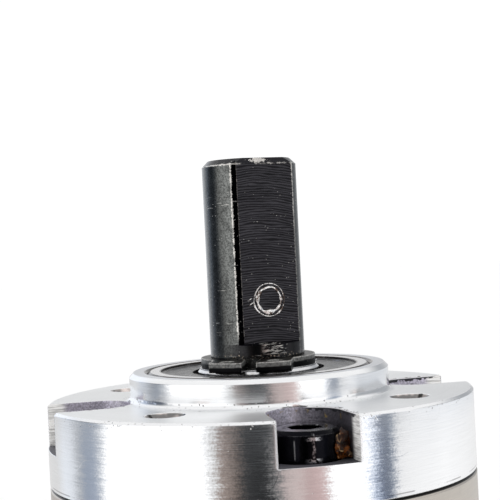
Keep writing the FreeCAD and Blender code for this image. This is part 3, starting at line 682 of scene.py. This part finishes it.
def bare_mark():
    """Steel laid bare by a set screw's cup point, with shadowed and smeared parts."""
    metal = Surface("bare_mark")
    grain = metal.noise(metal.here, 7.0, 3.0, 0.7, 1.0)
    patch = metal.noise(metal.here, 1.5, 4.0, 0.7, 3.0)
    metal.paint(metal.shade((0.90, 0.88, 0.85), grain.step(0.35, 0.6) * 0.7 + 0.5),
                (patch.step(0.50, 0.56), metal.shade((0.16, 0.12, 0.10), grain + 0.3)))
    metal.rough(grain * 0.25 + 0.15)
    metal.relief(grain * 0.015 + patch * 0.02)
    return metal.material


def grease():
    """Old grease, nearly black where thin and amber where thick, with painted highlight streaks."""
    metal = Surface("grease", metallic=0.0, specular=0.12)
    metal.shader.inputs["Coat Weight"].default_value = 0.22
    metal.shader.inputs["Coat Roughness"].default_value = 0.05
    thick = metal.noise(metal.here, 2.2, 3.0, 0.6, 1.0)
    grain = metal.noise(metal.here, 9.0, 2.0, 0.6, 5.0)
    streak_noise = metal.noise(metal.stretched(1.6, 1.0, 0.7), 1.1, 2.0, 0.6, 9.0)
    some = metal.noise(metal.here, 0.9, 1.0, seed=4.0).step(0.45, 0.58)
    # painted highlights: pale streaks along contour lines of a noise
    highlight_streaks = (streak_noise - 0.5).size().step(0.035, 0.010) & some
    low = metal.z.step(-2.4, -2.9) * 0.06
    amber = metal.shade((0.15, 0.042, 0.005), grain * 1.2 + 0.4)
    metal.paint(metal.shade((0.016, 0.005, 0.002), grain * 0.8 + 0.6),
                ((thick + low).step(0.52, 0.66), amber),
                (thick.step(0.42, 0.34), (0.004, 0.003, 0.003)),
                (highlight_streaks * 0.8, (0.48, 0.32, 0.17)))
    metal.rough(grain * 0.2 + 0.30)
    metal.relief(thick * 0.22 + grain * 0.008)
    return metal.material


def dress_nodes():
    """Gives every CAD node the material of its slot in the record."""
    finishes = {
        "turned_aluminium": turned_aluminium(),
        "housing_steel": satin_steel("housing_steel", (0.60, 0.555, 0.50), 6.0, 0.34),
        "plate_steel": satin_steel("plate_steel", (0.56, 0.56, 0.555), 3.0, 0.30, 0.008),
        "black_screws": black_screws(),
        "black_oxide_shaft": black_oxide_shaft(),
        "clip_steel": clip_steel(),
        "bearing_steel": bearing_steel(),
        "cage_steel": satin_steel("cage_steel", (0.58, 0.57, 0.55), 4.0, 0.34),
        "shield_steel": shield_steel(),
        "gear_steel": satin_steel("gear_steel", (0.36, 0.35, 0.34), 4.0, 0.36, 0.008, 0.6),
        "carrier_steel": satin_steel("carrier_steel", (0.46, 0.46, 0.46), 3.0, 0.34, 0.008),
        "pin_steel": satin_steel("pin_steel", (0.72, 0.72, 0.73), 9.0, 0.20, 0.002),
        "washer_steel": satin_steel("washer_steel", (0.58, 0.56, 0.53), 5.0, 0.30),
    }
    for part in frame["record"]["subparts"]:
        mesh = frame["nodes"][part["node"]].data
        mesh.materials.clear()
        mesh.materials.append(finishes[part["material_slot"]])


# ---------------------------------------------------------------- small pieces

def mesh_piece(name, build, body, material):
    """Makes a mesh object with build(bm), in millimetres, that rides on a body."""
    bm = bmesh.new()
    build(bm)
    bmesh.ops.scale(bm, vec=(MM, MM, MM), verts=bm.verts)
    bmesh.ops.recalc_face_normals(bm, faces=bm.faces)
    mesh = bpy.data.meshes.new(name)
    bm.to_mesh(mesh)
    bm.free()
    for face in mesh.polygons:
        face.use_smooth = True
    piece = bpy.data.objects.new(name, mesh)
    bpy.context.scene.collection.objects.link(piece)
    mesh.materials.append(material)
    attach(piece, body)


def swept(bm, sections, closed):
    """Skins rings of points, in a loop if closed and with end faces if not."""
    rings = [[bm.verts.new(point) for point in section] for section in sections]
    count = len(rings[0])
    last = len(rings) if closed else len(rings) - 1
    for index in range(last):
        ring, following = rings[index], rings[(index + 1) % len(rings)]
        for side in range(count):
            other = (side + 1) % count
            bm.faces.new((ring[side], ring[other], following[other], following[side]))
    if not closed:
        bm.faces.new(list(reversed(rings[0])))
        bm.faces.new(rings[-1])


def hole_threads(bm):
    """A helical ridge on the wall of each of the four tapped holes in the face."""
    turns, steps, lowest = 10, 28, -5.75
    root, crest = FACE_HOLE_RADIUS + 0.02, FACE_HOLE_RADIUS - 0.10
    profile = ((root, -0.17), (crest, -0.03), (crest, 0.03), (root, 0.17))
    for corner in range(4):
        angle = radians(45 + 90 * corner)
        centre = Vector((FACE_HOLE_CIRCLE * cos(angle), FACE_HOLE_CIRCLE * sin(angle), 0))
        sections = []
        for index in range(turns * steps + 1):
            turn = 2 * pi * index / steps
            height = lowest + THREAD_PITCH * index / steps
            outward = Vector((cos(turn), sin(turn), 0))
            sections.append([centre + outward * radius + Vector((0, 0, height + rise))
                             for radius, rise in profile])
        swept(bm, sections, False)


def on_flat(across, height, lift):
    """A point on the shaft's flat, lifted out from it."""
    out = SHAFT_FLAT + lift
    return Vector((across * cos(FLAT_AZIMUTH) + out * sin(FLAT_AZIMUTH),
                   across * sin(FLAT_AZIMUTH) - out * cos(FLAT_AZIMUTH), height))


def cup_ring(bm, radius, width, tall, seed):
    """One uneven ring of raised metal on the flat: its half width and height vary round it."""
    count, sunk = 96, -0.02
    profile = ((-1, sunk), (-0.45, 0.8), (0.45, 0.8), (1, sunk))
    sections = []
    for index in range(count):
        turn = 2 * pi * index / count
        wander = noise.noise(Vector((cos(turn) * 1.3, sin(turn) * 1.3, seed)))
        swell = 0.70 + 0.9 * noise.noise(Vector((cos(turn) * 2.5, sin(turn) * 2.5, seed + 9)))
        swell *= 1.0 - 0.30 * cos(turn - radians(60))
        ring = []
        for side, lift in profile:
            reach = radius + 0.06 * wander + side * width * swell
            ring.append(on_flat(reach * cos(turn), MARK_HEIGHT + reach * sin(turn),
                                lift * tall * swell))
        sections.append(ring)
    swept(bm, sections, True)


def set_screw_mark(bm):
    """The double ring left by a set screw's cup point, with two small burrs at its left."""
    cup_ring(bm, 1.37, 0.09, 0.05, 1.0)
    cup_ring(bm, 1.05, 0.21, 0.08, 4.0)
    steps, slant, sunk, tall = 8, (0.42, 0.25), -0.01, 0.05
    for left, low, size in ((-1.62, -0.25, 0.20), (-1.72, 0.12, 0.12)):
        sections = []
        for index in range(steps + 1):
            share = index / steps
            fat = size * sin(pi * (0.08 + 0.84 * share))
            across = left + slant[0] * (share - 0.5)
            height = MARK_HEIGHT + low + slant[1] * (share - 0.5)
            sections.append([on_flat(across, height - fat * 0.5, sunk),
                             on_flat(across, height, tall * fat / size),
                             on_flat(across, height + fat * 0.5, sunk)])
        swept(bm, sections, False)


def grease_blob(bm):
    """A smear of old grease between the front screw's head and the pocket's wall."""
    centre, reach = Vector((2.14, -15.60, -2.55)), (0.85, 0.80, 1.08)
    lowest, rightmost = -3.52, 2.98     # just into the pocket's floor and its right wall
    bmesh.ops.create_icosphere(bm, subdivisions=4, radius=1.0)
    for vertex in bm.verts:
        point = vertex.co.normalized()
        bulge = (1.0 + 0.55 * noise.noise(point * 1.9 + Vector((3, 1, 7)))
                 + 0.22 * noise.noise(point * 5.0))
        vertex.co = centre + Vector(size * part for size, part in zip(point, reach)) * bulge
        vertex.co.z = max(vertex.co.z, lowest)
        vertex.co.x = min(vertex.co.x, rightmost)


# ---------------------------------------------------------------- studio

FLOOR_HALF_SIZE = 1.5           # metres
FLOOR_DROP = 0.02 * MM          # clear of the motor plate's face
ROOM_STRENGTH = 1.05            # the white room that lights the scene
CARD_STRENGTH = 1.4             # the brightest that a card can be
CEILING = (0.68, 0.68, 0.68)

WHITE, ROSE, COOL = (1.0, 1.0, 1.0), (1.10, 0.93, 0.90), (0.94, 0.98, 1.04)
BLUE, DEEP = (0.84, 0.96, 1.18), (0.78, 0.94, 1.30)
BROWN, DUSK = (1.18, 0.95, 0.84), (1.22, 0.90, 0.88)

# The studio that the metal reflects, in three belts from its lowest up. Each entry is the
# azimuth from the camera's side in degrees, the brightness and the tint.
LOW_CARDS = (
    (-180, 0.80, WHITE), (-140, 0.74, WHITE), (-128, 0.90, COOL), (-120, 0.84, COOL),
    (-112, 0.50, COOL), (-106, 0.38, BLUE), (-98, 0.42, BLUE), (-93, 0.72, COOL),
    (-88, 1.30, WHITE), (-31, 1.35, WHITE), (-27, 0.90, WHITE), (-25, 0.76, WHITE),
    (-22.5, 0.31, BROWN), (-17, 0.21, BROWN), (-13, 0.10, BROWN), (-9, 0.038, COOL),
    (-3, 0.014, COOL), (2, 0.024, COOL), (6, 0.20, WHITE), (11, 0.50, ROSE),
    (17, 0.58, ROSE), (23, 0.42, DUSK), (31, 0.52, DUSK), (34, 0.95, WHITE),
    (37, 1.35, WHITE), (54, 1.25, WHITE), (58, 0.72, BLUE), (61.5, 0.26, DEEP),
    (66, 0.13, DEEP), (69.5, 0.34, BLUE), (73.5, 0.95, WHITE), (110, 1.05, WHITE),
)
BOSS_CARDS = (
    (-180, 0.78, WHITE), (-139, 0.66, WHITE), (-117, 0.66, COOL), (-109, 0.54, COOL),
    (-101, 0.48, COOL), (-94, 0.60, COOL), (-88, 0.68, COOL), (-84, 1.30, WHITE),
    (-52, 1.30, WHITE), (-42, 0.92, WHITE), (-33, 0.92, WHITE), (-30, 0.56, COOL),
    (-24, 0.40, COOL), (-20, 0.24, COOL), (-7, 0.10, COOL), (-3, 0.15, COOL),
    (9, 0.17, COOL), (12, 0.30, ROSE), (18, 0.50, ROSE), (31, 0.66, ROSE),
    (34, 0.90, WHITE), (38, 1.30, WHITE), (59, 1.30, WHITE), (62, 0.55, COOL),
    (68, 0.40, COOL), (75, 0.44, COOL), (81, 0.68, COOL), (92, 0.86, COOL),
    (120, 0.88, COOL),
)
HIGH_CARDS = (
    (-180, 0.80, WHITE), (-140, 1.05, COOL), (-126, 0.60, BLUE), (-118, 0.28, BLUE),
    (-108, 0.13, BLUE), (-98, 0.15, BLUE), (-90, 0.50, COOL), (-84, 1.05, WHITE),
    (-31, 1.35, WHITE), (-23, 0.80, WHITE), (-20, 0.30, ROSE), (-8, 0.10, WHITE),
    (4, 0.08, COOL), (12, 0.25, ROSE), (31, 0.70, ROSE), (37, 1.30, WHITE),
    (60, 1.20, WHITE), (64, 0.40, BLUE), (71, 0.40, BLUE), (76, 1.00, WHITE),
    (88, 1.00, WHITE), (96, 0.42, COOL), (150, 0.42, COOL),
)


def floor():
    """Matt white paper under the object. Metal doesn't reflect it."""
    bm = bmesh.new()
    bmesh.ops.create_grid(bm, x_segments=8, y_segments=8, size=FLOOR_HALF_SIZE)
    mesh = bpy.data.meshes.new("studio_floor")
    bm.to_mesh(mesh)
    bm.free()
    ground = bpy.data.objects.new("studio_floor", mesh)
    ground.location.z = CAD_BOX[0][2] - FLOOR_DROP
    bpy.context.scene.collection.objects.link(ground)
    ground.visible_glossy = False
    paper = Surface("paper", metallic=0.0, specular=0.1)
    tone = paper.noise(paper.point(paper.x, paper.y, 0.0), 0.02, 2.0)
    paper.paint(paper.shade((0.97, 0.97, 0.97), tone * 0.02 + 0.99))
    paper.rough(tone * 0.05 + 0.9)
    mesh.materials.append(paper.material)


def card_ramp(tree, azimuth, cards):
    """A belt of cards by azimuth, as a share of CARD_STRENGTH. A ramp takes 32 stops."""
    ramp = tree.nodes.new("ShaderNodeValToRGB")
    plug(tree, ramp.inputs[0], azimuth)
    stops = sorted(((degrees - VIEW_AZIMUTH + 180) % 360 / 360, level, tint)
                   for degrees, level, tint in cards)
    elements = ramp.color_ramp.elements
    while len(elements) < len(stops):
        elements.new(0.5)
    for element, (place, level, tint) in zip(elements, stops):
        element.position = place
        element.color = (*(level * share / CARD_STRENGTH for share in tint), 1.0)
    return Field(tree, ramp.outputs[0])


def studio_light():
    """A soft white room lights the scene, and the cards show only in reflections."""
    world = bpy.data.worlds.new("studio")
    bpy.context.scene.world = world
    world.use_nodes = True
    tree = world.node_tree
    tree.nodes.clear()
    texture = tree.nodes.new("ShaderNodeTexCoord")
    split = tree.nodes.new("ShaderNodeSeparateXYZ")
    tree.links.new(texture.outputs["Generated"], split.inputs[0])
    x, y, z = (Field(tree, output) for output in split.outputs)
    azimuth = x.math("ARCTAN2", -y) * (0.5 / pi) + 0.5

    boss_belt, high_belt = z.step(-0.136, -0.126), z.step(-0.100, -0.080)
    above_or_below = z.step(0.30, 0.62) | z.step(-0.45, -0.75)
    colour = card_ramp(tree, azimuth, LOW_CARDS)
    colour = mixed(tree, boss_belt, colour, card_ramp(tree, azimuth, BOSS_CARDS))
    colour = mixed(tree, high_belt, colour, card_ramp(tree, azimuth, HIGH_CARDS))
    colour = mixed(tree, above_or_below, colour, CEILING)

    cards = tree.nodes.new("ShaderNodeBackground")
    plug(tree, cards.inputs["Color"], colour)
    cards.inputs["Strength"].default_value = CARD_STRENGTH
    room = tree.nodes.new("ShaderNodeBackground")
    room.inputs["Color"].default_value = (1.0, 1.0, 1.0, 1.0)
    room.inputs["Strength"].default_value = ROOM_STRENGTH
    path = tree.nodes.new("ShaderNodeLightPath")
    choose = tree.nodes.new("ShaderNodeMixShader")
    output = tree.nodes.new("ShaderNodeOutputWorld")
    tree.links.new(path.outputs["Is Glossy Ray"], choose.inputs[0])
    tree.links.new(room.outputs[0], choose.inputs[1])
    tree.links.new(cards.outputs[0], choose.inputs[2])
    tree.links.new(choose.outputs[0], output.inputs[0])


def camera():
    """The photograph's view: distance and height in metres, angles in radians."""
    distance, height, yaw, pitch, roll = 0.11258, 0.01308, 0.002, -0.0079, -0.049
    data = bpy.data.cameras.new("camera")
    data.lens = 95.1
    data.sensor_width = 36.0
    data.clip_start = 0.002
    view = bpy.data.objects.new("camera", data)
    bpy.context.scene.collection.objects.link(view)
    around = Matrix.Rotation(radians(-VIEW_AZIMUTH), 4, "Z")
    back = Matrix.Translation((0, -distance, height)) @ Matrix.Rotation(yaw, 4, "Z")
    tilt = Matrix.Rotation(radians(90) + pitch, 4, "X")
    view.matrix_world = around @ back @ tilt @ Matrix.Rotation(roll, 4, "Z")
    bpy.context.scene.camera = view
    bpy.context.scene.view_settings.view_transform = "Standard"


dress_nodes()
mesh_piece("face_hole_threads", hole_threads, "casing", thread_metal())
mesh_piece("set_screw_mark", set_screw_mark, "output_shaft_assembly",
           bare_mark())
mesh_piece("pocket_grease", grease_blob, "casing", grease())
floor()
studio_light()
camera()
